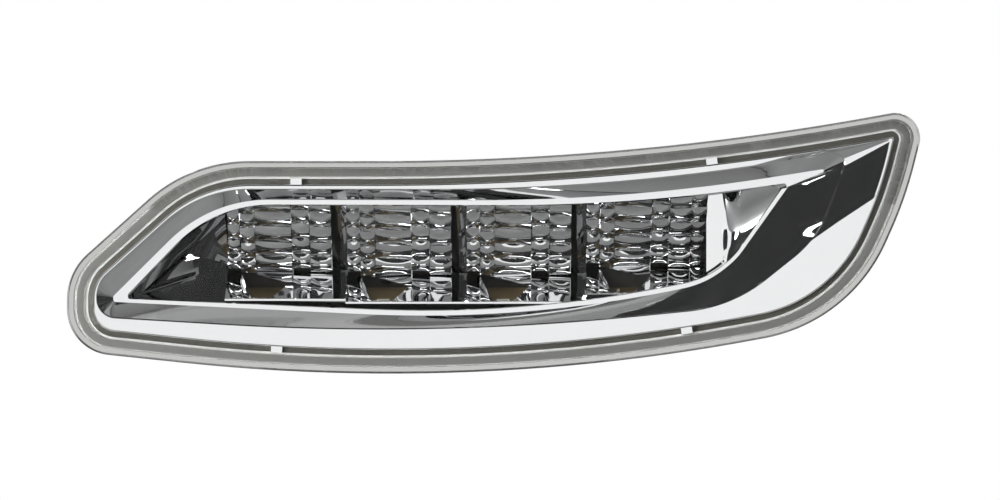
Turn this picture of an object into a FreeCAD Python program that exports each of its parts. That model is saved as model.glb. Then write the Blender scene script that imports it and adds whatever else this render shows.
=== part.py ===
import FreeCAD, Part
import math
import os

os.makedirs("parts", exist_ok=True)
V = FreeCAD.Vector

# Frame: X along the lamp, Z up, front towards -Y, mounting face at Y = 0.
# Loops are clockwise corners (x, z, radius) seen from the front.
OUTLINE = [
    (-81.4, 18.95, 40.5), (35.1, 18.95, 756.0), (116.2, 33.6, 6.75), (110.1, 9.25, 108.0),
    (95.25, -24.1, 44.5), (-5.5, -43.25, 532.0), (-114.6, -31.8, 12.4), (-114.6, -10.8, 16.2),
]
COLLAR = [
    (-79.1, 11.35, 34.0), (35.1, 11.2, 600.0), (95.6, 21.95, 2.7), (92.6, 13.0, 60.0), (87.2, -1.3, 32.0),
    (63.7, -20.0, 40.0), (-17.3, -28.05, 700.0), (-107.2, -22.7, 5.0), (-107.2, -13.8, 8.0),
]
CREST = [
    (-74.5, 8.8, 13.5), (35.1, 8.5, 520.0), (91.8, 16.9, 0.4), (80.0, 12.6, 1.0), (66.3, -7.4, 21.6),
    (57.6, -14.4, 27.0), (7.8, -24.35, 340.0), (-103.4, -18.9, 0.8), (-103.4, -17.4, 0.8),
]
WINDOW = [
    (-73.7, 7.3, 12.0), (35.1, 7.0, 480.0), (78.6, 13.2, 0.8), (77.3, 12.0, 2.0), (64.5, -6.75, 20.0),
    (56.7, -12.7, 25.0), (6.75, -22.5, 340.0), (-98.7, -18.0, 0.5), (-98.7, -16.7, 0.5),
]
MIN_RADIUS = 0.4

# Lens and its welded leg
LENS_FRONT = -42.0
LENS_PLATE = 2.5
LENS_EDGE_BEVEL = 0.6
LEG_INSET = 1.6
LEG_WALL = 2.7

# Housing
LAND_Y = -32.0
SHELF_THICK = 3.0
BASE_THICK = 3.0
BASE_INSET = 3.9
WALL_BASE = 2.4
BOSS_R = 5.5
BOSS_LONG = 9.2

# Bezel
BEZEL_INSET = 6.2
BEZEL_WALL = 1.2
FLANGE_THICK = 2.0
SHELF_OPEN = 6.9
CREST_Y = -30.5
LEDGE_THICK = 5.5
TAB_LONG = 3.0
TAB_WIDE = 1.7
TAB_DEEP = 2.4
TAB_GAP = 0.1
TABS = [(-53.7, 1), (58.6, 1), (-58.9, -1), (51.6, -1)]

# Faceted reflector
CELLS = 4
CELL_START = -73.7
CELL_PITCH = 32.95
COLUMN_SHARE = [0.11, 0.12, 0.31, 0.15, 0.18, 0.13]
PILLOW_SHARE = 0.145
COLUMN_STEP = [2.4, 1.7, 1.0, 1.7, 2.0, 0.0]
CELL_RISE = [0.8, 0.0, 0.0, 2.2]
ROW_HIGH = 4.0
ROWS = 5
ROW_BULGE = 0.42
WALL_DEPTH = 15.0
WALL_TALL = 20.0
VERTEX_Y = -10.0
VERTEX_Z = -11.3
FLOOR_RUN = 14.5
FLOOR_FALL = 7.7
SKIN = 2.0
RIM_WIDE = 2.4
RIM_THICK = 1.6
TRIM_OUT = 1.0
APERTURE = [(0.097, 0.0), (0.212, -7.4), (0.385, -7.4), (0.528, -3.4)]
POCKET_TOP = 10.0
POCKET_FOOT = -21.0
POCKET_CREASE = (-12.0, -8.9)
POCKET_TIP = (-24.4, -18.0)
DISH_R = 15.3
DISH_START = (-29.9, -1.5)
DISH_END = (-41.3, 12.0)

# Board and what it carries, in the plane of the reflector floor
BOARD_START = 2.7
BOARD_END_SHARE = 0.72
BOARD_V = (-7.6, 8.4)
BOARD_THICK = 1.6
BOARD_GAP = 2.6
LED_SIZE = (3.5, 2.8, 1.9)
LED_WELL = (2.5, 2.0, 0.5)
LED_SHARE = 0.303
CHIP_SHARE = 0.62
LED_V = -3.0
CHIP_SIZE = (3.2, 1.6, 0.6)
REGULATOR_SIZE = (6.5, 6.2, 2.3)
DIODE_SIZE = (4.3, 2.6, 2.2)
CAP_R = 2.5
CAP_TALL = 5.4
REGULATOR_SHARE = 2.358
DIODE_SHARE = 2.589
CAP_SHARE = 2.1
POWER_V = 0.5
DIODE_V = 1.5
SCREW_R = 1.1
SCREW_HEAD_R = 2.2
SCREW_HEAD = 1.5
SCREW_BITE = 4.6
SCREW_SHARE = 0.76
SCREW_V = 1.0
SCREW_CLEAR = 0.3
BOSS_WALL = 1.7

# Connector, vent and mounting inserts
MOUNT_HALF = 60.0
INSERT_R = 3.5
INSERT_LONG = 8.0
INSERT_BORE = 2.1
PIN_SIZE = (0.8, 2.8)
PIN_HALF = 4.0
PIN_CLEAR = 0.1
PIN_PROUD = 1.0
PLUG_X = 30.0
PLUG_V = 4.5
PLUG_SIZE = (17.0, 11.0, 12.0)
PLUG_WALL = 1.7
PIN_REACH = 9.0
VENT_X = -30.0
VENT_Z = -12.0
VENT_R = 5.0
VENT_STEM = 2.5
VENT_CAP = 1.5
VENT_GAP = 0.15


def rounded_loop(corners, inset, y):
    """Closed wire of lines and tangent arcs round the corners, moved inwards by inset."""
    count = len(corners)
    points = [V(x, 0, z) for x, z, _ in corners]
    ways = [(points[(i + 1) % count] - points[i]).normalize() for i in range(count)]
    marks = []
    for i in range(count):
        came, goes = ways[i - 1], ways[i]
        cross = came.x * goes.z - came.z * goes.x
        turn = math.atan2(cross, came.dot(goes))
        inward = V(came.z + goes.z, 0, -came.x - goes.x).normalize()
        vertex = points[i] + inward * (inset / math.cos(turn / 2))
        radius = max(corners[i][2] + inset * math.copysign(1, turn), MIN_RADIUS)
        reach = radius * math.tan(abs(turn) / 2)
        bow = radius / math.cos(turn / 2) - radius
        middle = vertex + (goes - came).normalize() * bow
        marks.append((vertex - came * reach, middle, vertex + goes * reach))
    edges = []
    for i in range(count):
        start, middle, end = [V(p.x, y, p.z) for p in marks[i]]
        edges.append(Part.Arc(start, middle, end).toShape())
        follow = marks[(i + 1) % count][0]
        edges.append(Part.makeLine(end, V(follow.x, y, follow.z)))
    return Part.Wire(edges)


def prism(corners, inset, y_start, y_end):
    face = Part.Face(rounded_loop(corners, inset, y_start))
    return face.extrude(V(0, y_end - y_start, 0))


def ruled(first, second):
    return Part.makeLoft([first, second], True, True)


def ring(corners, outer, inner, y_start, y_end):
    return prism(corners, outer, y_start, y_end).cut(prism(corners, inner, y_start, y_end))


def rod(radius, x, z, y_start, y_end):
    return Part.makeCylinder(radius, y_end - y_start, V(x, y_start, z), V(0, 1, 0))


def block(size, centre_x, centre_v, low):
    return Part.makeBox(size[0], size[1], size[2], V(centre_x - size[0] / 2, centre_v - size[1] / 2, low))


floor_angle = math.degrees(math.atan2(FLOOR_FALL, FLOOR_RUN))
floor_middle = V(0, VERTEX_Y - FLOOR_RUN / 2, VERTEX_Z - FLOOR_FALL / 2)
floor_place = FreeCAD.Placement(floor_middle, FreeCAD.Rotation(V(1, 0, 0), floor_angle))


def on_floor(shape):
    """Carry a shape drawn flat, with its top at height 0, into the plane of the reflector floor."""
    placed = shape.copy()
    placed.Placement = floor_place.multiply(shape.Placement)
    return placed


def cell_x(index):
    return CELL_START + index * CELL_PITCH


parts = {}

# Lens: face plate and the leg, set back under its rim, that is welded to the land
plate_back = LENS_FRONT + LENS_PLATE
lens = prism(OUTLINE, 0.0, LENS_FRONT, plate_back)
front_edges = [e for e in lens.Edges if all(abs(v.Y - LENS_FRONT) < 0.001 for v in e.Vertexes)]
lens = lens.makeChamfer(LENS_EDGE_BEVEL, front_edges)
lens = lens.fuse(ring(OUTLINE, LEG_INSET, LEG_INSET + LEG_WALL, plate_back, LAND_Y))
parts["lens"] = lens.removeSplitter()


def tab(x, side, spare, y_start, y_end):
    """Locating tab standing out from the edge of the bezel flange at this x."""
    probe = Part.makeLine(V(x, y_start, 0), V(x, y_start, side * 100.0))
    edge = rounded_loop(OUTLINE, BEZEL_INSET, y_start)
    z = edge.distToShape(probe)[1][0][0].z
    ahead = Part.makeLine(V(x + TAB_LONG, y_start, 0), V(x + TAB_LONG, y_start, side * 100.0))
    rise = edge.distToShape(ahead)[1][0][0].z - z
    long = TAB_LONG + 2 * spare
    wide = 2 * TAB_WIDE + 2 * spare
    shape = Part.makeBox(long, y_end - y_start, wide, V(-long / 2, y_start, -wide / 2))
    shape.rotate(V(0, 0, 0), V(0, 1, 0), -math.degrees(math.atan2(rise, TAB_LONG)))
    shape.translate(V(x, 0, z))
    return shape


# Housing: drafted tray, land with its shelf, mounting bosses and plug shroud
housing = ruled(rounded_loop(OUTLINE, LEG_INSET, LAND_Y), rounded_loop(OUTLINE, BASE_INSET, 0.0))
cavity = ruled(
    rounded_loop(OUTLINE, LEG_INSET + LEG_WALL, LAND_Y + SHELF_THICK),
    rounded_loop(OUTLINE, BASE_INSET + WALL_BASE, -BASE_THICK),
)
housing = housing.cut(cavity)
housing = housing.cut(prism(OUTLINE, SHELF_OPEN, LAND_Y, LAND_Y + SHELF_THICK))
for x, side in TABS:
    housing = housing.cut(tab(x, side, TAB_GAP, LAND_Y, LAND_Y + TAB_DEEP + TAB_GAP))
for x in (-MOUNT_HALF, MOUNT_HALF):
    housing = housing.fuse(rod(BOSS_R, x, 0.0, -BOSS_LONG, -BASE_THICK / 2))
    housing = housing.cut(rod(INSERT_R, x, 0.0, -INSERT_LONG, 0.0))
plug_at = floor_place.multVec(V(PLUG_X, PLUG_V, -SKIN - BOARD_GAP))
plug_long, plug_tall, plug_deep = PLUG_SIZE


def plug_box(inset, y_start, y_end):
    long = plug_long - 2 * inset
    tall = plug_tall - 2 * inset
    return Part.makeBox(long, y_end - y_start, tall, V(PLUG_X - long / 2, y_start, plug_at.z - tall / 2))


def blade(side, spare, y_start, y_end):
    """Flat plug pin, or the slot for one when spare is given."""
    wide = PIN_SIZE[0] + 2 * spare
    tall = PIN_SIZE[1] + 2 * spare
    corner = V(PLUG_X + side * PIN_HALF - wide / 2, y_start, plug_at.z - tall / 2)
    return Part.makeBox(wide, y_end - y_start, tall, corner)


shroud = plug_box(0.0, -BASE_THICK / 2, plug_deep).cut(plug_box(PLUG_WALL, 0.0, plug_deep))
housing = housing.fuse(shroud)
for side in (-1, 1):
    housing = housing.cut(blade(side, 0.0, -BASE_THICK, 0.0))
housing = housing.cut(rod(VENT_STEM, VENT_X, VENT_Z, -BASE_THICK, 0.0))
housing = housing.cut(rod(VENT_R + VENT_GAP, VENT_X, VENT_Z, -VENT_CAP, 0.0))
parts["housing"] = housing.removeSplitter()

# Bezel: flange with four tabs, funnel collar and the flat crest ledge round the window
flange_y = LAND_Y - FLANGE_THICK
bezel = prism(OUTLINE, BEZEL_INSET, flange_y, LAND_Y).cut(prism(COLLAR, 0.0, flange_y, LAND_Y))
funnel = ruled(rounded_loop(COLLAR, -BEZEL_WALL, flange_y), rounded_loop(CREST, -BEZEL_WALL, CREST_Y))
ledge_y = CREST_Y + LEDGE_THICK
ledge = prism(CREST, -BEZEL_WALL, CREST_Y, ledge_y)
bezel = bezel.fuse([funnel, ledge])
bezel = bezel.common(prism(OUTLINE, BEZEL_INSET, flange_y, 0.0))
bezel = bezel.cut(ruled(rounded_loop(COLLAR, 0.0, flange_y), rounded_loop(CREST, 0.0, CREST_Y)))
bezel = bezel.cut(prism(WINDOW, 0.0, CREST_Y, ledge_y))
for x, side in TABS:
    hook = tab(x, side, 0.0, flange_y + 0.4, LAND_Y + TAB_DEEP)
    bezel = bezel.fuse(hook.cut(prism(COLLAR, -BEZEL_WALL / 2, flange_y, 0.0)))
parts["bezel"] = bezel.removeSplitter()


def wall_y(rise):
    """Depth of the concave cell wall at a height above its lower edge."""
    share = rise / WALL_TALL
    return VERTEX_Y - WALL_DEPTH * (0.6 * share * share + 0.4 * share)


def column(index, x, share, step):
    """One stepped column of a cell: pillow facets up the wall, flat floor below, even skin behind."""
    lift = CELL_RISE[index]
    heights = [row * ROW_HIGH for row in range(ROWS + 2)]
    front = [V(x, wall_y(h) - step, VERTEX_Z + lift + h) for h in heights]
    edges = []
    for row, (low, high) in enumerate(zip(front, front[1:])):
        along = (high - low).normalize()
        crown = (low + high) * 0.5 + V(0, -along.z, along.y) * ROW_BULGE
        if row < ROWS and share > PILLOW_SHARE:
            edges.append(Part.Arc(low, crown, high).toShape())
        else:
            edges.append(Part.makeLine(low, high))
    back = [V(x, wall_y(h) + SKIN, VERTEX_Z + lift + h) for h in (heights[-1], heights[3], heights[0])]
    slope = FLOOR_FALL / FLOOR_RUN
    toe = V(x, VERTEX_Y - step, VERTEX_Z + lift - step * slope)
    lip = V(x, VERTEX_Y - FLOOR_RUN, VERTEX_Z + lift - FLOOR_FALL)
    under = V(x, lip.y, lip.z - SKIN * 1.2)
    heel = V(x, back[2].y, back[2].z + SKIN * (slope - 1.2))
    edges.append(Part.makePolygon([front[-1]] + back + [heel, under, lip, toe, front[0]]))
    loop = Part.Wire(Part.__sortEdges__(sum([e.Edges for e in edges], [])))
    return Part.Face(loop).extrude(V(share * CELL_PITCH, 0, 0))


columns = []
for index in range(CELLS):
    x = cell_x(index)
    for share, step in zip(COLUMN_SHARE, COLUMN_STEP):
        columns.append(column(index, x, share, step))
        x += share * CELL_PITCH
cells_end = x


rim_y = ledge_y

# Pocket: two flat sheets that meet in a crease running out to the left tip
pocket_tip = V(WINDOW[-1][0] - RIM_WIDE, *POCKET_TIP)
crease = V(CELL_START, *POCKET_CREASE)
pocket = []
for z in (POCKET_TOP, POCKET_FOOT):
    edge = V(CELL_START, rim_y, z)
    pocket.append(Part.Face(Part.makePolygon([edge, crease, pocket_tip, edge])).extrude(V(0, SKIN, 0)))


def trough(radius):
    """Cylinder along the axis of the dish, which comes forward and rises towards the right tip."""
    start = V(cells_end, *DISH_START)
    axis = V(WINDOW[2][0] + RIM_WIDE, *DISH_END) - start
    return Part.makeCylinder(radius, 3 * axis.Length, start - axis, axis)


dish_long = WINDOW[2][0] + RIM_WIDE - cells_end
dish_room = Part.makeBox(dish_long, -rim_y, 4 * DISH_R, V(cells_end, rim_y, -2 * DISH_R))
dish = trough(DISH_R + SKIN).cut(trough(DISH_R)).common(dish_room)

# Reflector: cells, pocket and dish trimmed to the window, with the rim staked behind the ledge
reflector = columns[0].fuse(columns[1:] + pocket + [dish])
reflector = reflector.common(prism(WINDOW, -TRIM_OUT, rim_y, 0.0))
reflector = reflector.fuse(ring(WINDOW, -RIM_WIDE, 0.0, rim_y, rim_y + RIM_THICK))
for index in range(CELLS):
    hole = [V(cell_x(index + share), rim_y, VERTEX_Z + CELL_RISE[index] + dz) for share, dz in APERTURE]
    hole_face = Part.Face(Part.makePolygon(hole + [hole[0]]))
    reflector = reflector.cut(hole_face.extrude(V(0, -rim_y, 0)))
board_top = -SKIN - BOARD_GAP
screw_xs = [cell_x(index + SCREW_SHARE) for index in range(CELLS - 1)]
for x in screw_xs:
    post = Part.makeCylinder(SCREW_R + BOSS_WALL, -board_top - SKIN / 4, V(x, SCREW_V, board_top))
    pilot = Part.makeCylinder(SCREW_R, SCREW_BITE - BOARD_THICK, V(x, SCREW_V, board_top))
    reflector = reflector.fuse(on_floor(post)).cut(on_floor(pilot))
parts["reflector"] = reflector.removeSplitter()

# Board in the plane of the floor, pierced for its screws and the two pins
board_low = board_top - BOARD_THICK
board_start = CELL_START + BOARD_START
board_long = cell_x(CELLS - 1 + BOARD_END_SHARE) - board_start
board_wide = BOARD_V[1] - BOARD_V[0]
board = Part.makeBox(board_long, board_wide, BOARD_THICK, V(board_start, BOARD_V[0], board_low))
for x in screw_xs:
    hole = Part.makeCylinder(SCREW_R + SCREW_CLEAR, BOARD_THICK, V(x, SCREW_V, board_low))
    board = board.cut(hole)
board = on_floor(board)
pin_tip = plug_at.y - PIN_PROUD
for side in (-1, 1):
    board = board.cut(blade(side, PIN_CLEAR, pin_tip - BOARD_GAP, 0.0))
parts["circuit_board"] = board

# Screws, lamps and small components
for number, x in enumerate(screw_xs, 1):
    head = Part.makeCylinder(SCREW_HEAD_R, SCREW_HEAD, V(x, SCREW_V, board_low - SCREW_HEAD))
    shank = Part.makeCylinder(SCREW_R, SCREW_BITE, V(x, SCREW_V, board_low))
    parts["board_screw_%d" % number] = on_floor(head.fuse(shank).removeSplitter())

for index in range(CELLS):
    x = cell_x(index + LED_SHARE)
    led = block(LED_SIZE, x, LED_V, board_top)
    well = block(LED_WELL, x, LED_V, board_top + LED_SIZE[2] - LED_WELL[2])
    parts["led_%d" % (index + 1)] = on_floor(led.cut(well))
    chip_x = cell_x(index + CHIP_SHARE)
    parts["resistor_%d" % (index + 1)] = on_floor(block(CHIP_SIZE, chip_x, -LED_V, board_top))

regulator_low = board_low - REGULATOR_SIZE[2]
diode_low = board_low - DIODE_SIZE[2]
cap_at = V(cell_x(CAP_SHARE), POWER_V, board_low - CAP_TALL)
parts["regulator"] = on_floor(block(REGULATOR_SIZE, cell_x(REGULATOR_SHARE), POWER_V, regulator_low))
parts["diode"] = on_floor(block(DIODE_SIZE, cell_x(DIODE_SHARE), DIODE_V, diode_low))
parts["capacitor"] = on_floor(Part.makeCylinder(CAP_R, CAP_TALL, cap_at))

for number, side in enumerate((-1, 1), 1):
    parts["terminal_%d" % number] = blade(side, 0.0, pin_tip, PIN_REACH)
    insert = rod(INSERT_R, side * MOUNT_HALF, 0.0, -INSERT_LONG, 0.0)
    bore = rod(INSERT_BORE, side * MOUNT_HALF, 0.0, -INSERT_LONG, 0.0)
    parts["insert_%d" % number] = insert.cut(bore)

stem = rod(VENT_STEM, VENT_X, VENT_Z, -BASE_THICK, 0.0)
parts["vent_cap"] = stem.fuse(rod(VENT_R, VENT_X, VENT_Z, -VENT_CAP, 0.0)).removeSplitter()

for name, shape in parts.items():
    shape.exportStep("parts/%s.step" % name)
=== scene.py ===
import math
import random

import bmesh
import bpy
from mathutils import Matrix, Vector


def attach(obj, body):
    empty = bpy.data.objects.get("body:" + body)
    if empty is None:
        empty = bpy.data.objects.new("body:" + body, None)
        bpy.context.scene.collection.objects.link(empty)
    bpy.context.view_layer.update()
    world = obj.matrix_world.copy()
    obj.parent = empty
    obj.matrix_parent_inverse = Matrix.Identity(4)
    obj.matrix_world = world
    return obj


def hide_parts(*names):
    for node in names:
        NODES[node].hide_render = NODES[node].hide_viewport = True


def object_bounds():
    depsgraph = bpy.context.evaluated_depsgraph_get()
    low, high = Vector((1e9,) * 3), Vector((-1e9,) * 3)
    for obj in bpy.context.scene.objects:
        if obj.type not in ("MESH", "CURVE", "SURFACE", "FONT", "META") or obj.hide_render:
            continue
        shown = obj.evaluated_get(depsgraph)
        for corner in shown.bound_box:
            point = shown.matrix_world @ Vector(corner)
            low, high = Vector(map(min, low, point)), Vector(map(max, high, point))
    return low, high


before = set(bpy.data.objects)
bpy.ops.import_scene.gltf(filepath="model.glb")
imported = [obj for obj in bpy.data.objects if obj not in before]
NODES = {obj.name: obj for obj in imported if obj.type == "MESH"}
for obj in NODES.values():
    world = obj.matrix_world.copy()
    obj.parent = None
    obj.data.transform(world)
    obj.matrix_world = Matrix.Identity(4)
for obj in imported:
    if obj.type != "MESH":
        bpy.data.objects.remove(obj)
CAD_LOW, CAD_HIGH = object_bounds()

bl_info = {
    "name": "Truck marker lamp",
    "version": (1, 0, 0),
    "blender": (4, 5, 0),
    "location": "3D View > Sidebar > Marker lamp",
    "description": "Dresses a clear-lens marker lamp and sets it on a studio stage",
    "category": "Object",
}

MM = 0.001

# Loops are clockwise corners (x, z, radius) in millimetres, seen from the front, in matching order.
OUTLINE = [
    (-81.4, 18.95, 40.5), (35.1, 18.95, 756.0), (116.2, 33.6, 6.75), (113.15, 21.425, 60.0),
    (110.1, 9.25, 108.0), (95.25, -24.1, 44.5), (-5.5, -43.25, 532.0), (-114.6, -31.8, 12.4),
    (-114.6, -10.8, 16.2),
]
COLLAR = [
    (-79.1, 11.35, 34.0), (35.1, 11.2, 600.0), (95.6, 21.95, 2.7), (92.6, 13.0, 60.0), (87.2, -1.3, 32.0),
    (63.7, -20.0, 40.0), (-17.3, -28.05, 700.0), (-107.2, -22.7, 5.0), (-107.2, -13.8, 8.0),
]
CREST = [
    (-77.0, 8.8, 38.0), (35.1, 8.5, 520.0), (91.8, 17.5, 0.4), (79.3, 12.2, 1.0), (65.5, -7.2, 21.0),
    (57.3, -13.9, 26.0), (7.8, -24.35, 340.0), (-103.4, -18.9, 0.8), (-103.4, -17.4, 0.8),
]
WINDOW = [
    (-76.0, 7.3, 36.0), (35.1, 7.0, 480.0), (78.6, 12.8, 0.8), (77.3, 11.5, 2.0), (64.5, -6.75, 20.0),
    (56.7, -12.7, 25.0), (6.75, -22.5, 340.0), (-98.7, -18.0, 0.5), (-98.7, -16.7, 0.5),
]
MIN_RADIUS = 0.4
ARC_STEPS = 24
SIDE_STEPS = 8

# Bezel depths and insets
BEZEL_INSET = 6.2
FLANGE_Y = -34.0
LAND_Y = -32.0
CREST_Y = -30.5
LEDGE_Y = -25.0
BEZEL_WALL = 1.2
EDGE = 0.35
RIM_LINE = 0.9
RIM_LIMIT = 0.8
FLANGE_LEAN = 1.7
LEAN_FROM = (70.0, -3.0)
LEAN_RUN = (18.0, 8.0)
CREST_SHARE = 0.85
CREST_SKIN = 0.5
LAND_LAP = 0.8
BEZEL_SHARP = 7.0
COLLAR_STEPS = 6
TAB_LONG = 3.0
TAB_WIDE = 1.7
TABS = [(-53.7, 1), (58.6, 1), (-58.9, -1), (51.6, -1)]

# Lens, its leg and the weld under it; the lens rim carries painted shade, the weld seam's grey is painted
# light and its pale bead is a painted highlight
LENS_FRONT = -42.0
LENS_BACK = -39.5
LENS_BEVEL = 0.6
LENS_INSET = 0.01
LENS_SHARP = 12.0
LENS_IOR = 1.49
LENS_SHINE = (0.12, 0.12, 0.12)
LEG_INSET = 1.6
LEG_WALL = 2.7
WELD_HIGH = 0.3
# Painted shade: grey mixed into the clear lens colour on the rim rings listed below, so the overhanging rim
# looks greyer
RIM_PAINTED_SHADE = (0.3, 0.3, 0.285)
PAINTED_SHADE_RINGS = (2, 5)
WELD_GAP = 0.05
# Painted highlight: width and height of the pale bead along the leg's inner edge
HIGHLIGHT_WIDE = 0.3
HIGHLIGHT_LOW = 0.1
BEAD_ROUND = 0.04
BEAD_SHARP = 30.0

# Faceted cells: shares of the pitch, depths and sizes in millimetres, turns in radians
CELLS = 4
CELL_START = -73.7
CELL_PITCH = 32.95
COLUMN_SHARE = [0.11, 0.12, 0.31, 0.15, 0.18, 0.13]
COLUMN_STEP = [2.4, 1.7, 1.0, 1.7, 2.0, 0.0]
COLUMN_SHIFT = [0.6, -0.5, 0.0, 0.7, -0.3, 0.0]
COLUMN_ROLL = [0.0, 0.0, 0.055, 0.03, 0.03, 0.0]
GAP_DEEP = 3.0
GAP_SLANT = 2.6
CELL_RISE = [0.8, 0.0, 0.0, 2.2]
ROW_HIGH = 4.0
ROWS = 5
WALL_DEPTH = 15.0
WALL_TALL = 20.0
VERTEX_Y = -10.0
VERTEX_Z = -11.3
FLOOR_RUN = 14.5
FLOOR_FALL = 7.7
FLOOR_SKIN = 3.0
APERTURE = [(0.097, 0.0), (0.212, -7.4), (0.385, -7.4), (0.528, -3.4)]
APRON_Z = -24.0
APRON_BACK = 3.2
LIP_HIGH = 0.5
FACET_DEEP = 1.6
FACET_SEED = 7
FACET_TILT = 0.09
FACET_SWING = 0.1
FACET_GRID = (9, 2, 9)
FACET_DROP = {"X": 0.6, "Z": 1.0}
COLUMN_CLEAR = 0.1
BACKING_DEEP = 0.9
BACKING_SKIN = 1.6
BACKING_LAP = 1.4
REFLECTOR_SHARP = 30.0

# Smooth pocket and dish beside the cells
SMOOTH_SKIN = 1.2
SEAT_GAP = 0.05
WINDOW_LAP = 1.0
POCKET_END = -98.5
POCKET_STEPS = 16
POCKET_ROWS = 6
CREASE_START = (-12.0, -8.9)
CREASE_RUN = (-12.6, -8.6)
CREASE_HALF = 0.22
CREASE_TAPER = 0.7
DISH_STEPS = 24
DISH_ROWS = 30
DISH_STOP = 1.2
DISH_R = 15.3
DISH_START = (-29.9, -1.5)
DISH_END = (81.0, -41.3, 12.0)
FACE_Y = -16.5
FACE_WIDE = 4.5
FACE_EASE = 5.0

# Camera frame
PIXEL_MM = 0.27
FRAME_WIDE = 1000
SENSOR = 36.0
AIM = (1.35, -4.86)
CLIP = (0.01, 20)

# Stage in metres: name, power setting, centre, target, width, height and shape of each light
FLOOR_X = (-3, 3)
FLOOR_Y = (-1.7, 0.5)
WHITE_FROM = 0.05
LIGHTS = (
    ("front_card", "front", (0.0, -1.7, 0.0), (0, 0, 0), 0.7, 0.32, "RECTANGLE"),
    ("ceiling_card", "ceiling", (0.0, -0.25, 0.9), (0, -0.25, 0), 1.2, 0.65, "RECTANGLE"),
    ("side_softbox", "key", (-1.0, -1.05, 0.0), (0, 0, 0), 0.25, 0.25, "ELLIPSE"),
    ("back_softbox", "back", (0.0, 1.25, 0.65), (0, 0, 0), 1.2, 0.6, "RECTANGLE"),
    ("strip_light", "strip", (0.0, -0.9, 0.62), (0, 0, 0), 0.44, 0.06, "RECTANGLE"),
)


def eased(share):
    """Share held between 0 and 1 and smoothed at both ends."""
    share = min(max(share, 0.0), 1.0)
    return (3 - 2 * share) * share * share


def rounded_loop(corners, inset):
    """Points round the corners, moved inwards by inset, with the same count for every loop."""
    count = len(corners)
    points = [Vector((x, z)) for x, z, _ in corners]
    ways = [(points[(i + 1) % count] - points[i]).normalized() for i in range(count)]
    arcs = []
    for i in range(count):
        came, goes = ways[i - 1], ways[i]
        turn = math.atan2(came.x * goes.y - came.y * goes.x, came.dot(goes))
        inward = Vector((came.y + goes.y, -came.x - goes.x)).normalized()
        vertex = points[i] + inward * (inset / math.cos(turn / 2))
        radius = max(corners[i][2] + inset * math.copysign(1, turn), MIN_RADIUS)
        start = vertex - came * (radius * math.tan(abs(turn) / 2))
        side = Vector((-came.y, came.x)) * math.copysign(1, turn)
        arc = []
        for k in range(ARC_STEPS + 1):
            angle = abs(turn) * k / ARC_STEPS
            arc.append(start + came * (radius * math.sin(angle)) + side * (radius * (1 - math.cos(angle))))
        arcs.append(arc)
    loop = []
    for i in range(count):
        loop += arcs[i]
        follow = arcs[(i + 1) % count][0]
        for k in range(1, SIDE_STEPS):
            loop.append(arcs[i][-1].lerp(follow, k / SIDE_STEPS))
    return loop


def blend_loops(first, second, share):
    """Loop part of the way from one loop to another."""
    return [a.lerp(b, share) for a, b in zip(first, second)]


def lifted(loop, y):
    """Points of a flat loop at this depth."""
    return [(p.x, y, p.y) for p in loop]


def mesh_object(name, points, faces, material, sharp_angle=40.0):
    """Mesh piece from points in millimetres, merged, turned outwards and smoothed up to sharp_angle."""
    mesh = bpy.data.meshes.new(name)
    mesh.from_pydata([Vector(p) * MM for p in points], [], faces)
    shape = bmesh.new()
    shape.from_mesh(mesh)
    bmesh.ops.remove_doubles(shape, verts=shape.verts, dist=1e-6)
    bmesh.ops.recalc_face_normals(shape, faces=shape.faces)
    shape.to_mesh(mesh)
    shape.free()
    for polygon in mesh.polygons:
        polygon.use_smooth = True
    mesh.set_sharp_from_angle(angle=math.radians(sharp_angle))
    mesh.materials.append(material)
    piece = bpy.data.objects.new(name, mesh)
    bpy.context.scene.collection.objects.link(piece)
    return piece


def ring_faces(count, rings):
    """Quads joining closed loops one after another, and the last back to the first."""
    faces = []
    for r in range(rings):
        low, high = r * count, ((r + 1) % rings) * count
        for i in range(count):
            j = (i + 1) % count
            faces.append((low + i, low + j, high + j, high + i))
    return faces


def sheet(grid, back):
    """Closed slab with a grid of points as its front and the same grid moved back behind it."""
    rows, columns = len(grid), len(grid[0])
    front = [Vector(p) for row in grid for p in row]
    points = front + [p + Vector((0, back, 0)) for p in front]
    size = rows * columns
    faces = []
    for r in range(rows - 1):
        for c in range(columns - 1):
            quad = (r * columns + c, r * columns + c + 1, (r + 1) * columns + c + 1, (r + 1) * columns + c)
            faces.append(quad)
            faces.append(tuple(size + k for k in reversed(quad)))
    rim = [c for c in range(columns)]
    rim += [r * columns + columns - 1 for r in range(1, rows)]
    rim += [(rows - 1) * columns + c for c in range(columns - 2, -1, -1)]
    rim += [r * columns for r in range(rows - 2, 0, -1)]
    for i, k in enumerate(rim):
        j = rim[(i + 1) % len(rim)]
        faces.append((k, size + k, size + j, j))
    return points, faces


def gather(parts):
    """One list of points and faces from several."""
    points, faces = [], []
    for more, joined in parts:
        start = len(points)
        points += more
        faces += [tuple(start + k for k in face) for face in joined]
    return points, faces


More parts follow.
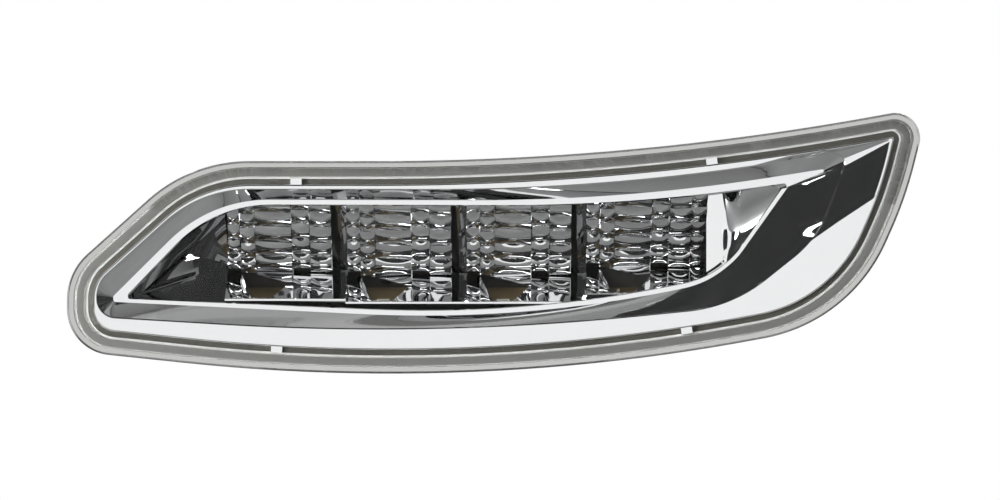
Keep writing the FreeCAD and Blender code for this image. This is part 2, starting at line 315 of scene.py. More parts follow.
def surface_group():
    """Shared surface variation: two mixed colours, a roughness range and a height from fine noise."""
    name = "Surface variation"
    if name in bpy.data.node_groups:
        return bpy.data.node_groups[name]
    tree = bpy.data.node_groups.new(name, "ShaderNodeTree")
    for label, kind, default in (
        ("Colour A", "NodeSocketColor", (0.8, 0.8, 0.8, 1)),
        ("Colour B", "NodeSocketColor", (0.7, 0.7, 0.7, 1)),
        ("Scale", "NodeSocketFloat", 200.0),
        ("Rough low", "NodeSocketFloat", 0.2),
        ("Rough high", "NodeSocketFloat", 0.3),
    ):
        tree.interface.new_socket(label, in_out="INPUT", socket_type=kind).default_value = default
    made = (("Colour", "NodeSocketColor"), ("Roughness", "NodeSocketFloat"), ("Height", "NodeSocketFloat"))
    for label, kind in made:
        tree.interface.new_socket(label, in_out="OUTPUT", socket_type=kind)
    given = tree.nodes.new("NodeGroupInput")
    result = tree.nodes.new("NodeGroupOutput")
    place = tree.nodes.new("ShaderNodeTexCoord")
    noise = tree.nodes.new("ShaderNodeTexNoise")
    noise.inputs["Detail"].default_value = 3.0
    colours = tree.nodes.new("ShaderNodeMix")
    colours.data_type = "RGBA"
    spread = tree.nodes.new("ShaderNodeMapRange")
    link = tree.links.new
    link(place.outputs["Object"], noise.inputs["Vector"])
    link(given.outputs["Scale"], noise.inputs["Scale"])
    link(noise.outputs["Fac"], colours.inputs["Factor"])
    link(given.outputs["Colour A"], colours.inputs["A"])
    link(given.outputs["Colour B"], colours.inputs["B"])
    link(noise.outputs["Fac"], spread.inputs["Value"])
    link(given.outputs["Rough low"], spread.inputs["To Min"])
    link(given.outputs["Rough high"], spread.inputs["To Max"])
    link(colours.outputs["Result"], result.inputs["Colour"])
    link(spread.outputs["Result"], result.inputs["Roughness"])
    link(noise.outputs["Fac"], result.inputs["Height"])
    return tree


def finish_material(name, first, second, scale, rough, metallic=0.0, bump=0.0):
    """Opaque finish with the shared surface variation."""
    material = bpy.data.materials.new(name)
    material.use_nodes = True
    tree = material.node_tree
    shader = tree.nodes["Principled BSDF"]
    shader.inputs["Metallic"].default_value = metallic
    group = tree.nodes.new("ShaderNodeGroup")
    group.node_tree = surface_group()
    group.inputs["Colour A"].default_value = (*first, 1)
    group.inputs["Colour B"].default_value = (*second, 1)
    group.inputs["Scale"].default_value = scale
    group.inputs["Rough low"].default_value = rough[0]
    group.inputs["Rough high"].default_value = rough[1]
    tree.links.new(group.outputs["Colour"], shader.inputs["Base Color"])
    tree.links.new(group.outputs["Roughness"], shader.inputs["Roughness"])
    if bump:
        height = tree.nodes.new("ShaderNodeBump")
        height.inputs["Distance"].default_value = bump * MM
        tree.links.new(group.outputs["Height"], height.inputs["Height"])
        tree.links.new(height.outputs["Normal"], shader.inputs["Normal"])
    return material


def chrome_material(name):
    """Mirror chrome on moulded plastic."""
    return finish_material(name, (0.93, 0.93, 0.935), (0.9, 0.905, 0.91), 60.0, (0.02, 0.035), metallic=1.0)


def lens_material():
    """Clear acrylic that lets light through to what is behind it, with painted shade that makes the
    overhanging rim greyer.
    """
    material = finish_material("Clear lens", (0.985, 0.99, 0.99), (0.975, 0.98, 0.98), 40.0, (0.0, 0.012))
    tree = material.node_tree
    shader = tree.nodes["Principled BSDF"]
    shader.inputs["Transmission Weight"].default_value = 1.0
    shader.inputs["IOR"].default_value = LENS_IOR
    shader.inputs["Specular Tint"].default_value = (*LENS_SHINE, 1)
    # Painted shade: the marked rim rings take the grey lens colour
    rim, painted_shade_mix = tree.nodes.new("ShaderNodeAttribute"), tree.nodes.new("ShaderNodeMix")
    rim.attribute_name = "rim_share"
    painted_shade_mix.data_type = "RGBA"
    painted_shade_mix.inputs["B"].default_value = (*RIM_PAINTED_SHADE, 1)
    tree.links.new(rim.outputs["Fac"], painted_shade_mix.inputs["Factor"])
    tree.links.new(shader.inputs["Base Color"].links[0].from_socket, painted_shade_mix.inputs["A"])
    tree.links.new(painted_shade_mix.outputs["Result"], shader.inputs["Base Color"])
    path = tree.nodes.new("ShaderNodeLightPath")
    clear = tree.nodes.new("ShaderNodeBsdfTransparent")
    mix = tree.nodes.new("ShaderNodeMixShader")
    tree.links.new(path.outputs["Is Shadow Ray"], mix.inputs["Fac"])
    tree.links.new(shader.outputs["BSDF"], mix.inputs[1])
    tree.links.new(clear.outputs["BSDF"], mix.inputs[2])
    tree.links.new(mix.outputs["Shader"], tree.nodes["Material Output"].inputs["Surface"])
    return material


def dress(node, material):
    """Give a solid of the frame its finish."""
    NODES[node].data.materials.clear()
    NODES[node].data.materials.append(material)


def seat(piece, node):
    """Hang a made piece on the lamp in place of the solid it stands for."""
    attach(piece, "root")
    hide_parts(node)


class LampSizes(bpy.types.PropertyGroup):
    """Sizes of the lamp that a user would change."""

    pillow: bpy.props.FloatProperty(
        name="Pillow", description="Bulge of a reflector facet", default=0.0008, unit="LENGTH"
    )
    facet_gap: bpy.props.FloatProperty(
        name="Facet gap", description="Gap between two facets of a column", default=0.00012, unit="LENGTH"
    )


class LampColours(bpy.types.PropertyGroup):
    """Colours of the plain finishes."""

    housing: bpy.props.FloatVectorProperty(
        name="Housing", description="Grey of the housing", default=(0.085, 0.082, 0.068), subtype="COLOR"
    )
    board: bpy.props.FloatVectorProperty(
        name="Board", description="Brown of the bare board", default=(0.17, 0.132, 0.07), subtype="COLOR"
    )
    # Painted light: grey of the weld seam, lighter than the housing so the band seen through the leg looks
    # lit
    weld: bpy.props.FloatVectorProperty(
        name="Weld", description="Grey of the seam under the leg, painted light for the band seen through the leg", default=(0.5, 0.5, 0.48), subtype="COLOR"
    )
    # Painted highlight: pale colour of the bead along the inner edge of the leg
    painted_highlight: bpy.props.FloatVectorProperty(
        name="Painted highlight", description="Pale bead that is a painted highlight at the inner edge of the leg", default=(0.8, 0.8, 0.78), subtype="COLOR"
    )


class StageSettings(bpy.types.PropertyGroup):
    """Camera and light of the stage."""

    distance: bpy.props.FloatProperty(
        name="Distance", description="Camera to the bezel flange", default=0.9, unit="LENGTH"
    )
    key: bpy.props.FloatProperty(
        name="Key", description="Power of the side softbox", default=10.0, unit="POWER"
    )
    ceiling: bpy.props.FloatProperty(
        name="Ceiling", description="Power of the card over the lamp", default=0.6, unit="POWER"
    )
    back: bpy.props.FloatProperty(
        name="Back", description="Power of the softbox over and behind the lamp", default=9.0, unit="POWER"
    )
    strip: bpy.props.FloatProperty(
        name="Strip", description="Power of the narrow light above the camera", default=0.5, unit="POWER"
    )
    front: bpy.props.FloatProperty(
        name="Front card", description="Power of the card round the camera", default=0.65, unit="POWER"
    )
    ambient: bpy.props.FloatProperty(name="Ambient", description="Strength of the plain world", default=0.025)
    floor_drop: bpy.props.FloatProperty(
        name="Floor drop", description="Height of the lamp over the floor", default=0.085, unit="LENGTH"
    )


class LAMP_OT_housing(bpy.types.Operator):
    """Finish the housing and what is set into its back"""

    bl_idname = "lamp.housing"
    bl_label = "Housing"

    def execute(self, context):
        base = context.scene.lamp_colours.housing
        dark = tuple(c * 0.85 for c in base)
        dress("housing", finish_material("Housing grey", base, dark, 900.0, (0.42, 0.55), bump=0.03))
        vent = finish_material("Vent black", (0.02,) * 3, (0.03,) * 3, 500.0, (0.6, 0.75), bump=0.03)
        dress("vent_cap", vent)
        drawn = (0.25, 0.4)
        brass = finish_material("Insert brass", (0.66, 0.47, 0.17), (0.58, 0.4, 0.14), 400.0, drawn, 1.0)
        tin = finish_material("Terminal tin", (0.66, 0.65, 0.6), (0.55, 0.54, 0.5), 600.0, drawn, 1.0)
        for number in (1, 2):
            dress("insert_%d" % number, brass)
            dress("terminal_%d" % number, tin)
        return {"FINISHED"}


class LAMP_OT_electronics(bpy.types.Operator):
    """Finish the board, the LEDs and the small components"""

    bl_idname = "lamp.electronics"
    bl_label = "Electronics"

    def execute(self, context):
        base = context.scene.lamp_colours.board
        pale = tuple(c * 1.3 for c in base)
        dress("circuit_board", finish_material("Board laminate", base, pale, 700.0, (0.35, 0.5)))
        body = finish_material("LED body", (0.75, 0.72, 0.62), (0.68, 0.65, 0.55), 900.0, (0.25, 0.35))
        chip = finish_material("Resistor ceramic", (0.03,) * 3, (0.05,) * 3, 900.0, (0.3, 0.45))
        plated = (0.25, 0.4)
        steel = finish_material("Screw steel", (0.56, 0.56, 0.57), (0.48, 0.48, 0.49), 900.0, plated, 1.0)
        for number in range(1, CELLS + 1):
            dress("led_%d" % number, body)
            dress("resistor_%d" % number, chip)
        for number in range(1, CELLS):
            dress("board_screw_%d" % number, steel)
        black = finish_material("Component black", (0.02,) * 3, (0.035,) * 3, 700.0, (0.4, 0.55))
        dress("regulator", black)
        dress("diode", black)
        can = finish_material("Capacitor can", (0.7,) * 3, (0.62,) * 3, 800.0, (0.25, 0.35), 1.0)
        dress("capacitor", can)
        return {"FINISHED"}


class LAMP_OT_bezel(bpy.types.Operator):
    """Build the chrome bezel as rings swept round its loops"""

    bl_idname = "lamp.bezel"
    bl_label = "Bezel"

    def execute(self, context):
        outer = rounded_loop(OUTLINE, BEZEL_INSET)
        collar = rounded_loop(COLLAR, 0.0)
        crest = rounded_loop(CREST, 0.0)
        window = rounded_loop(WINDOW, 0.0)
        rings = [
            lifted(outer, LAND_Y),
            lifted(outer, FLANGE_Y + EDGE),
            lifted(rounded_loop(OUTLINE, BEZEL_INSET + EDGE / 3), FLANGE_Y + EDGE / 3),
            lifted(rounded_loop(OUTLINE, BEZEL_INSET + EDGE), FLANGE_Y),
            lifted(self.rim_line(), FLANGE_Y),
            self.leaning(rounded_loop(COLLAR, -EDGE), FLANGE_Y, 0.0),
            self.leaning(rounded_loop(COLLAR, -EDGE / 3), FLANGE_Y + EDGE / 3, 0.0),
        ]
        for step in range(COLLAR_STEPS + 1):
            share = step / COLLAR_STEPS
            depth = FLANGE_Y + EDGE + (CREST_Y - FLANGE_Y - EDGE) * share
            rings.append(self.leaning(blend_loops(collar, crest, share), depth, share))
        rings += [
            lifted(blend_loops(crest, window, CREST_SHARE), CREST_Y),
            lifted(window, CREST_Y + EDGE),
            lifted(window, LEDGE_Y),
            lifted(rounded_loop(CREST, -BEZEL_WALL), LEDGE_Y),
            lifted(rounded_loop(CREST, -BEZEL_WALL), CREST_Y + CREST_SKIN),
            lifted(rounded_loop(OUTLINE, BEZEL_INSET + LAND_LAP), LAND_Y),
        ]
        body = [p for ring in rings for p in ring], ring_faces(len(outer), len(rings))
        points, faces = gather([body] + [self.tab(outer, x, side) for x, side in TABS])
        piece = mesh_object("bezel_chrome", points, faces, chrome_material("Bezel chrome"), BEZEL_SHARP)
        seat(piece, "bezel")
        return {"FINISHED"}

    def rim_line(self):
        """Inner edge of the flat line round the flange."""
        first, second = rounded_loop(OUTLINE, BEZEL_INSET + EDGE), rounded_loop(COLLAR, -EDGE)
        return [a.lerp(b, min(RIM_LIMIT, RIM_LINE / (b - a).length)) for a, b in zip(first, second)]

    def leaning(self, loop, y, share):
        """Loop at a depth, set back towards the upper right end where the flange leans in."""
        points = []
        for p in loop:
            right, up = [eased((part - start) / run) for part, start, run in zip(p, LEAN_FROM, LEAN_RUN)]
            points.append((p.x, y + FLANGE_LEAN * right * up * (1 - share), p.y))
        return points

    def tab(self, edge, x, side):
        """Small locating block across the outer edge of the flange."""
        pick = -1 if side > 0 else 0
        back, front = [crossings(edge, x + shift)[pick] for shift in (-TAB_LONG / 2, TAB_LONG / 2)]
        along = Vector((TAB_LONG, 0, front - back)).normalized()
        out = Vector((-along.z, 0, along.x)) * side
        middle = Vector((x, 0, (back + front) / 2))
        points = []
        for y in (FLANGE_Y + EDGE, LAND_Y):
            for a, b in ((-1, -0.6), (1, -0.6), (1, 1), (-1, 1)):
                points.append(middle + along * (a * TAB_LONG / 2) + out * (b * TAB_WIDE) + Vector((0, y, 0)))
        sides = [(k, (k + 1) % 4, 4 + (k + 1) % 4, 4 + k) for k in range(4)]
        return points, [(3, 2, 1, 0), (4, 5, 6, 7)] + sides


def wall_y(rise):
    """Depth of the concave cell wall at a height above its lower edge."""
    share = rise / WALL_TALL
    return VERTEX_Y - WALL_DEPTH * (0.6 * share * share + 0.4 * share)


def rise_point(foot, row, step):
    """Point on the front of a column at this row, kept behind the bezel ledge."""
    rise = row * ROW_HIGH
    return Vector((0, max(wall_y(rise) - step, LEDGE_Y + COLUMN_CLEAR), foot + rise))


def crossings(loop, x):
    """Heights, lowest first, at which a loop crosses this x."""
    found = []
    for a, b in zip(loop, loop[1:] + loop[:1]):
        if (a.x - x) * (b.x - x) <= 0 and a.x != b.x:
            found.append(a.y + (b.y - a.y) * (x - a.x) / (b.x - a.x))
    return sorted(found)


def edge_heights(x):
    """Lowest and highest z of the window at this x."""
    found = crossings(rounded_loop(WINDOW, 0.0), x)
    return found[0], found[-1]


def trough_y(x, z):
    """Depth of the slanting cylinder that forms the dish, or the ledge where it has run out."""
    start, end = Vector((CELL_START + CELLS * CELL_PITCH, *DISH_START)), Vector(DISH_END)
    axis = (end - start).normalized()
    dx, dz = x - start.x, z - start.z
    along = dx * axis.x + dz * axis.z
    a, b, c = 1 - axis.y ** 2, -2 * axis.y * along, dx * dx + dz * dz - along * along - DISH_R ** 2
    inside = b * b - 4 * a * c
    if inside < 0:
        return LEDGE_Y
    return start.y + (-b + math.sqrt(inside)) / (2 * a)


def facet_tree(material):
    """Geometry nodes that set one closed pillow on every point, sized and turned by its attributes."""
    tree = bpy.data.node_groups.new("Facet field", "GeometryNodeTree")
    tree.interface.new_socket("Geometry", in_out="INPUT", socket_type="NodeSocketGeometry")
    bulge = tree.interface.new_socket("Bulge", in_out="INPUT", socket_type="NodeSocketFloat")
    bulge.default_value = 0.3
    tree.interface.new_socket("Geometry", in_out="OUTPUT", socket_type="NodeSocketGeometry")
    add = tree.nodes.new
    link = tree.links.new
    given, result = add("NodeGroupInput"), add("NodeGroupOutput")
    cube = add("GeometryNodeMeshCube")
    cube.inputs["Size"].default_value = (1, 1, 1)
    for axis, count in zip("XYZ", FACET_GRID):
        cube.inputs["Vertices " + axis].default_value = count
    place, split = add("GeometryNodeInputPosition"), add("ShaderNodeSeparateXYZ")
    link(place.outputs["Position"], split.inputs["Vector"])

    def arch(axis):
        """Height of a parabola over the facet: 1 at the middle and 1 less the drop at the edges."""
        square, whole = add("ShaderNodeMath"), add("ShaderNodeMath")
        square.operation, whole.operation = "MULTIPLY", "MULTIPLY_ADD"
        link(split.outputs[axis], square.inputs[0])
        link(split.outputs[axis], square.inputs[1])
        link(square.outputs[0], whole.inputs[0])
        whole.inputs[1].default_value = -4.0 * FACET_DROP[axis]
        whole.inputs[2].default_value = 1.0
        return whole.outputs[0]

    both, swell, front = add("ShaderNodeMath"), add("ShaderNodeMath"), add("FunctionNodeCompare")
    both.operation = swell.operation = "MULTIPLY"
    link(arch("X"), both.inputs[0])
    link(arch("Z"), both.inputs[1])
    negate = add("ShaderNodeMath")
    negate.operation = "MULTIPLY"
    negate.inputs[1].default_value = -1.0
    link(given.outputs["Bulge"], negate.inputs[0])
    link(both.outputs[0], swell.inputs[0])
    link(negate.outputs[0], swell.inputs[1])
    front.data_type, front.operation = "FLOAT", "LESS_THAN"
    link(split.outputs["Y"], front.inputs[0])
    offset, move = add("ShaderNodeCombineXYZ"), add("GeometryNodeSetPosition")
    link(swell.outputs[0], offset.inputs["Y"])
    link(cube.outputs["Mesh"], move.inputs["Geometry"])
    link(front.outputs["Result"], move.inputs["Selection"])
    link(offset.outputs["Vector"], move.inputs["Offset"])
    size, turn = add("GeometryNodeInputNamedAttribute"), add("GeometryNodeInputNamedAttribute")
    for node, label in ((size, "facet_size"), (turn, "facet_turn")):
        node.data_type = "FLOAT_VECTOR"
        node.inputs["Name"].default_value = label
    euler = add("FunctionNodeEulerToRotation")
    spread, real = add("GeometryNodeInstanceOnPoints"), add("GeometryNodeRealizeInstances")
    paint = add("GeometryNodeSetMaterial")
    link(turn.outputs["Attribute"], euler.inputs["Euler"])
    link(given.outputs["Geometry"], spread.inputs["Points"])
    link(move.outputs["Geometry"], spread.inputs["Instance"])
    link(euler.outputs["Rotation"], spread.inputs["Rotation"])
    link(size.outputs["Attribute"], spread.inputs["Scale"])
    link(spread.outputs["Instances"], real.inputs["Geometry"])
    link(real.outputs["Geometry"], paint.inputs["Geometry"])
    paint.inputs["Material"].default_value = material
    link(paint.outputs["Geometry"], result.inputs["Geometry"])
    return tree, bulge.identifier


def facet_mesh(spots, sizes, turns, material, bulge):
    """Mesh of all facets, made by the geometry nodes from their places, sizes and turns."""
    seeds = bpy.data.meshes.new("facet_seeds")
    seeds.from_pydata([Vector(p) * MM for p in spots], [], [])
    for label, values in (("facet_size", sizes), ("facet_turn", turns)):
        layer = seeds.attributes.new(label, "FLOAT_VECTOR", "POINT")
        layer.data.foreach_set("vector", [c for value in values for c in value])
    carrier = bpy.data.objects.new("facet_seeds", seeds)
    bpy.context.scene.collection.objects.link(carrier)
    tree, bulge_id = facet_tree(material)
    field = carrier.modifiers.new("Facet field", "NODES")
    field.node_group = tree
    field[bulge_id] = bulge
    made = bpy.data.meshes.new_from_object(carrier.evaluated_get(bpy.context.evaluated_depsgraph_get()))
    carrier.modifiers.remove(field)
    bpy.data.objects.remove(carrier)
    return made


class LAMP_OT_reflector(bpy.types.Operator):
    """Build the faceted reflector: pillow facets, backing, floors with openings, pocket and dish"""

    bl_idname = "lamp.reflector"
    bl_label = "Reflector"

    def execute(self, context):
        sizes = context.scene.lamp_sizes
        material = chrome_material("Reflector chrome")
        chance = random.Random(FACET_SEED)
        spots, scales, turns, slabs = [], [], [], []
        for index in range(CELLS):
            x = CELL_START + index * CELL_PITCH
            lift = CELL_RISE[index]
            for column, (share, step) in enumerate(zip(COLUMN_SHARE, COLUMN_STEP)):
                wide = share * CELL_PITCH
                foot = VERTEX_Z + lift + COLUMN_SHIFT[column]
                gap = column == len(COLUMN_SHARE) - 1 and index < CELLS - 1
                for row in range(0 if gap else ROWS):
                    low, high = [rise_point(foot, row + k, step) for k in (0, 1)]
                    along = high - low
                    inward = Vector((0, along.z, -along.y)).normalized() * (FACET_DEEP / 2)
                    spots.append((low + high) / 2 + inward + Vector((x + wide / 2, 0, 0)))
                    across, upward = [side * MM - sizes.facet_gap for side in (wide, along.length)]
                    scales.append((across, FACET_DEEP * MM, upward))
                    tilt = math.atan2(-along.y, along.z) + chance.uniform(-FACET_TILT, FACET_TILT)
                    turns.append((tilt, COLUMN_ROLL[column], chance.uniform(-FACET_SWING, FACET_SWING)))
                deep = Vector((0, GAP_DEEP if gap else BACKING_DEEP, 0))
                slant = Vector((wide, -GAP_SLANT if gap else 0, 0))
                grid = []
                for row in range(ROWS + 2):
                    point = rise_point(foot, row, step) + deep
                    point.z = min(point.z, edge_heights(x + wide / 2)[1] + BACKING_LAP)
                    point.x = x
                    grid.append([point, point + slant])
                slabs.append(sheet(grid, BACKING_SKIN))
                x += wide
            slabs.append(self.floor(index))
        slabs.append(self.pocket())
        slabs.append(self.dish())
        points, faces = gather(slabs)
        piece = mesh_object("reflector_chrome", points, faces, material, REFLECTOR_SHARP)
        facets = facet_mesh(spots, scales, turns, material, sizes.pillow / (FACET_DEEP * MM))
        joined = bmesh.new()
        joined.from_mesh(piece.data)
        joined.from_mesh(facets)
        joined.to_mesh(piece.data)
        joined.free()
        for polygon in piece.data.polygons:
            polygon.use_smooth = True
        piece.data.set_sharp_from_angle(angle=math.radians(REFLECTOR_SHARP))
        bpy.data.meshes.remove(facets)
        seat(piece, "reflector")
        return {"FINISHED"}

    def floor(self, index):
        """Sloping floor of one cell with its LED opening, its front lip and the apron under it."""
        start = CELL_START + index * CELL_PITCH
        lift = CELL_RISE[index]
        slope = FLOOR_FALL / FLOOR_RUN

        def on_plane(x, z):
            return Vector((x, VERTEX_Y + (z - VERTEX_Z - lift) / slope, z))

        top, foot = VERTEX_Z + lift, VERTEX_Z + lift - FLOOR_FALL
        outer = [(start, top), (start, foot), (start + CELL_PITCH, foot), (start + CELL_PITCH, top)]
        inner = [(start + share * CELL_PITCH, VERTEX_Z + lift + dz) for share, dz in APERTURE]
        front = [on_plane(x, z) for x, z in outer + inner]
        points = front + [p + Vector((0, FLOOR_SKIN, 0)) for p in front]
        faces = []
        for k in range(4):
            j = (k + 1) % 4
            faces += [(k, j, 4 + j, 4 + k), (8 + j, 8 + k, 12 + k, 12 + j)]
            faces += [(j, k, 8 + k, 8 + j), (4 + k, 4 + j, 12 + j, 12 + k)]
        lip = on_plane(start, foot).y
        edges = (start, start + CELL_PITCH)
        profile = ((lip, foot), (lip, foot - LIP_HIGH), (lip + APRON_BACK, APRON_Z))
        apron = [[(x, y, z) for x in edges] for y, z in profile]
        return gather([(points, faces), sheet(apron, SMOOTH_SKIN)])

    def pocket(self):
        """Smooth creased pocket left of the cells."""
        grid = []
        for s in range(POCKET_STEPS + 1):
            share = s / POCKET_STEPS
            x = CELL_START + SEAT_GAP - share * (CELL_START - POCKET_END)
            low, high = edge_heights(x)
            crease = Vector((x, *[start + run * share for start, run in zip(CREASE_START, CREASE_RUN)]))
            half = Vector((0, 0, CREASE_HALF * (1 - share * CREASE_TAPER)))
            top, foot = [Vector((x, LEDGE_Y + SEAT_GAP, z)) for z in (high + WINDOW_LAP, low - WINDOW_LAP)]
            halves = ((top, crease + half), (crease - half, foot))
            grid.append([a.lerp(b, k / POCKET_ROWS) for a, b in halves for k in range(POCKET_ROWS + 1)])
        return sheet(grid, SMOOTH_SKIN)

    def dish(self):
        """Smooth hollow right of the cells, with a flat face beside the last column."""
        grid = []
        start, end = CELL_START + CELLS * CELL_PITCH, WINDOW[2][0] - DISH_STOP
        for s in range(DISH_STEPS + 1):
            x = start + (end - start) * s / DISH_STEPS
            low, high = edge_heights(x)
            low, high = low - WINDOW_LAP, high + WINDOW_LAP
            heights = [high + (low - high) * k / DISH_ROWS for k in range(DISH_ROWS + 1)]
            ease = eased((x - start - FACE_WIDE) / FACE_EASE)
            depths = [FACE_Y + (trough_y(x, z) - FACE_Y) * ease for z in heights]
            grid.append([(x, max(y, LEDGE_Y + SEAT_GAP), z) for y, z in zip(depths, heights)])
        return sheet(grid, SMOOTH_SKIN)


class LAMP_OT_lens(bpy.types.Operator):
    """Build the clear lens with painted shade in its rim, the weld seam under its leg, whose grey is painted
    light, and a pale bead that is a painted highlight at the leg's inner edge
    """

    bl_idname = "lamp.lens"
    bl_label = "Lens"

    def execute(self, context):
        outer, inner = LEG_INSET, LEG_INSET + LEG_WALL
        weld_top = LAND_Y - WELD_HIGH
        rings = [
            lifted(rounded_loop(OUTLINE, LENS_BEVEL), LENS_FRONT),
            lifted(rounded_loop(OUTLINE, LENS_BEVEL * 0.3), LENS_FRONT + LENS_BEVEL * 0.3),
            lifted(rounded_loop(OUTLINE, LENS_INSET), LENS_FRONT + LENS_BEVEL),
            lifted(rounded_loop(OUTLINE, LENS_INSET), LENS_BACK),
            lifted(rounded_loop(OUTLINE, outer), LENS_BACK),
            lifted(rounded_loop(OUTLINE, outer), weld_top),
            lifted(rounded_loop(OUTLINE, inner), weld_top),
            lifted(rounded_loop(OUTLINE, inner), LENS_BACK),
        ]
        count, last = len(rings[0]), len(rings) - 1
        faces = ring_faces(count, len(rings))[: count * last]
        faces += [tuple(range(count)), tuple(range(last * count, (last + 1) * count))]
        points = [p for ring in rings for p in ring]
        piece = mesh_object("lens_clear", points, faces, lens_material(), LENS_SHARP)
        # Marks the rim rings that get the painted shade
        share = piece.data.attributes.new("rim_share", "FLOAT", "POINT")
        first, after = [count * ring for ring in PAINTED_SHADE_RINGS]
        for vertex, value in zip(piece.data.vertices, share.data):
            value.value = float(first <= vertex.index < after)
        seat(piece, "lens")
        colours = context.scene.lamp_colours
        # Weld seam under the leg, its grey painted light
        self.bead("weld_seam", outer + WELD_GAP, inner - WELD_GAP, weld_top, colours.weld)
        # Painted highlight: pale bead along the inner edge of the leg, where the thin bright line falls
        self.bead("weld_flash", inner - WELD_GAP, inner + HIGHLIGHT_WIDE, weld_top + HIGHLIGHT_LOW, colours.painted_highlight)
        return {"FINISHED"}

    def bead(self, name, outer, inner, top, colour):
        """Ring lying on the land: the weld seam of melted plastic, whose grey is painted light, and the pale
        bead, which is a painted highlight.
        """
        crown = [rounded_loop(OUTLINE, outer + (inner - outer) * share) for share in (0.1, 0.9)]
        rings = [
            lifted(rounded_loop(OUTLINE, outer), LAND_Y),
            lifted(rounded_loop(OUTLINE, outer), top + BEAD_ROUND),
            lifted(crown[0], top),
            lifted(crown[1], top),
            lifted(rounded_loop(OUTLINE, inner), top + BEAD_ROUND),
            lifted(rounded_loop(OUTLINE, inner), LAND_Y),
        ]
        shade = tuple(c * 0.85 for c in colour)
        finish = finish_material(name.replace("_", " ").capitalize(), colour, shade, 700.0, (0.4, 0.5))
        faces = ring_faces(len(rings[0]), len(rings))
        piece = mesh_object(name, [p for ring in rings for p in ring], faces, finish, BEAD_SHARP)
        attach(piece, "root")


def card(name, strength, centre, target, wide, tall, shape):
    """White softbox lamp aimed at a point."""
    light = bpy.data.lights.new(name, "AREA")
    light.shape = shape
    light.size, light.size_y = wide, tall
    light.energy = strength
    lamp = bpy.data.objects.new(name, light)
    lamp.location = centre
    lamp.rotation_mode = "QUATERNION"
    lamp.rotation_quaternion = (Vector(target) - Vector(centre)).to_track_quat("-Z", "Y")
    bpy.context.scene.collection.objects.link(lamp)


def studio_world(ambient):
    """Dim plain world that shows as white to the camera and, behind the lamp, in metal and through glass."""
    world = bpy.data.worlds.new("Studio")
    world.use_nodes = True
    tree = world.node_tree
    back = tree.nodes["Background"]
    back.inputs["Color"].default_value = (1, 1, 1, 1)
    path, way = tree.nodes.new("ShaderNodeLightPath"), tree.nodes.new("ShaderNodeTexCoord")
    split, level = tree.nodes.new("ShaderNodeSeparateXYZ"), tree.nodes.new("ShaderNodeMapRange")
    behind, bent, masked, seen = [tree.nodes.new("ShaderNodeMath") for _ in range(4)]
    behind.operation, behind.inputs[1].default_value = "GREATER_THAN", WHITE_FROM
    bent.operation, masked.operation, seen.operation = "MAXIMUM", "MULTIPLY", "MAXIMUM"
    level.inputs["To Min"].default_value = ambient
    level.inputs["To Max"].default_value = 1.0
    link = tree.links.new
    link(way.outputs["Generated"], split.inputs["Vector"])
    link(split.outputs["Y"], behind.inputs[0])
    link(path.outputs["Is Glossy Ray"], bent.inputs[0])
    link(path.outputs["Is Transmission Ray"], bent.inputs[1])
    link(behind.outputs[0], masked.inputs[0])
    link(bent.outputs[0], masked.inputs[1])
    link(path.outputs["Is Camera Ray"], seen.inputs[0])
    link(masked.outputs[0], seen.inputs[1])
    link(seen.outputs[0], level.inputs["Value"])
    link(level.outputs["Result"], back.inputs["Strength"])
    return world


def plane(name, corners, material):
    """Flat piece of the stage."""
    mesh = bpy.data.meshes.new(name)
    mesh.from_pydata(corners, [], [(0, 1, 2, 3)])
    mesh.materials.append(material)
    piece = bpy.data.objects.new(name, mesh)
    bpy.context.scene.collection.objects.link(piece)


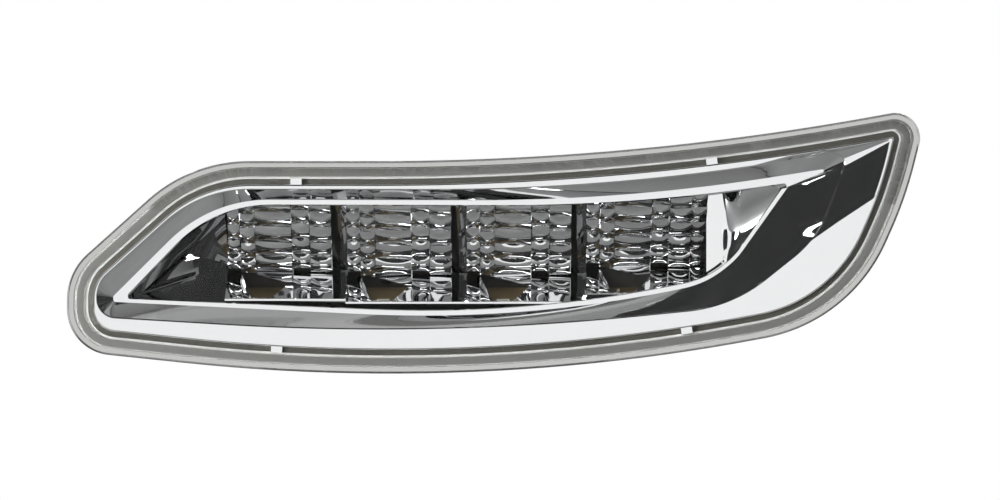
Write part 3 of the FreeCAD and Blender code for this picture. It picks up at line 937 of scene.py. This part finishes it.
class LAMP_OT_stage(bpy.types.Operator):
    """Set the pale floor, the softboxes, the world and the camera"""

    bl_idname = "lamp.stage"
    bl_label = "Stage"

    def execute(self, context):
        scene = context.scene
        settings = scene.lamp_stage
        scene.view_settings.view_transform = "Standard"
        pale = finish_material("Floor paper", (0.82, 0.82, 0.82), (0.78, 0.78, 0.78), 30.0, (0.8, 0.9))
        floor_z = CAD_LOW.z - settings.floor_drop
        (left, right), (near, far) = FLOOR_X, FLOOR_Y
        corners = ((left, near), (right, near), (right, far), (left, far))
        plane("floor", [(x, y, floor_z) for x, y in corners], pale)
        for name, setting, *shape in LIGHTS:
            card(name, getattr(settings, setting), *shape)
        scene.world = studio_world(settings.ambient)
        camera = bpy.data.objects.new("camera", bpy.data.cameras.new("camera"))
        scene.collection.objects.link(camera)
        camera.data.sensor_width = SENSOR
        camera.data.lens = SENSOR * settings.distance / (PIXEL_MM * MM * FRAME_WIDE)
        camera.data.clip_start, camera.data.clip_end = CLIP
        camera.location = (AIM[0] * MM, FLANGE_Y * MM - settings.distance, AIM[1] * MM)
        camera.rotation_euler = (math.pi / 2, 0, 0)
        scene.camera = camera
        return {"FINISHED"}


class LAMP_PT_build(bpy.types.Panel):
    """Buttons that build the lamp piece by piece"""

    bl_label = "Marker lamp"
    bl_idname = "LAMP_PT_build"
    bl_space_type = "VIEW_3D"
    bl_region_type = "UI"
    bl_category = "Marker lamp"

    def draw(self, context):
        for group in (context.scene.lamp_sizes, context.scene.lamp_colours, context.scene.lamp_stage):
            for key in group.bl_rna.properties.keys():
                if key not in ("rna_type", "name"):
                    self.layout.prop(group, key)
        for operator in OPERATORS:
            self.layout.operator(operator.bl_idname)


GROUPS = {"lamp_sizes": LampSizes, "lamp_colours": LampColours, "lamp_stage": StageSettings}
OPERATORS = (
    LAMP_OT_housing, LAMP_OT_electronics, LAMP_OT_bezel, LAMP_OT_reflector, LAMP_OT_lens, LAMP_OT_stage,
)


def register():
    """Register the settings, the operators and the panel."""
    for name, group in GROUPS.items():
        bpy.utils.register_class(group)
        setattr(bpy.types.Scene, name, bpy.props.PointerProperty(type=group))
    for operator in OPERATORS:
        bpy.utils.register_class(operator)
    bpy.utils.register_class(LAMP_PT_build)


def unregister():
    """Take all of them out again in turn."""
    bpy.utils.unregister_class(LAMP_PT_build)
    for operator in reversed(OPERATORS):
        bpy.utils.unregister_class(operator)
    for name, group in GROUPS.items():
        delattr(bpy.types.Scene, name)
        bpy.utils.unregister_class(group)


def main():
    register()
    bpy.ops.lamp.housing()
    bpy.ops.lamp.electronics()
    bpy.ops.lamp.bezel()
    bpy.ops.lamp.reflector()
    bpy.ops.lamp.lens()
    bpy.ops.lamp.stage()


if __name__ == "__main__":
    main()
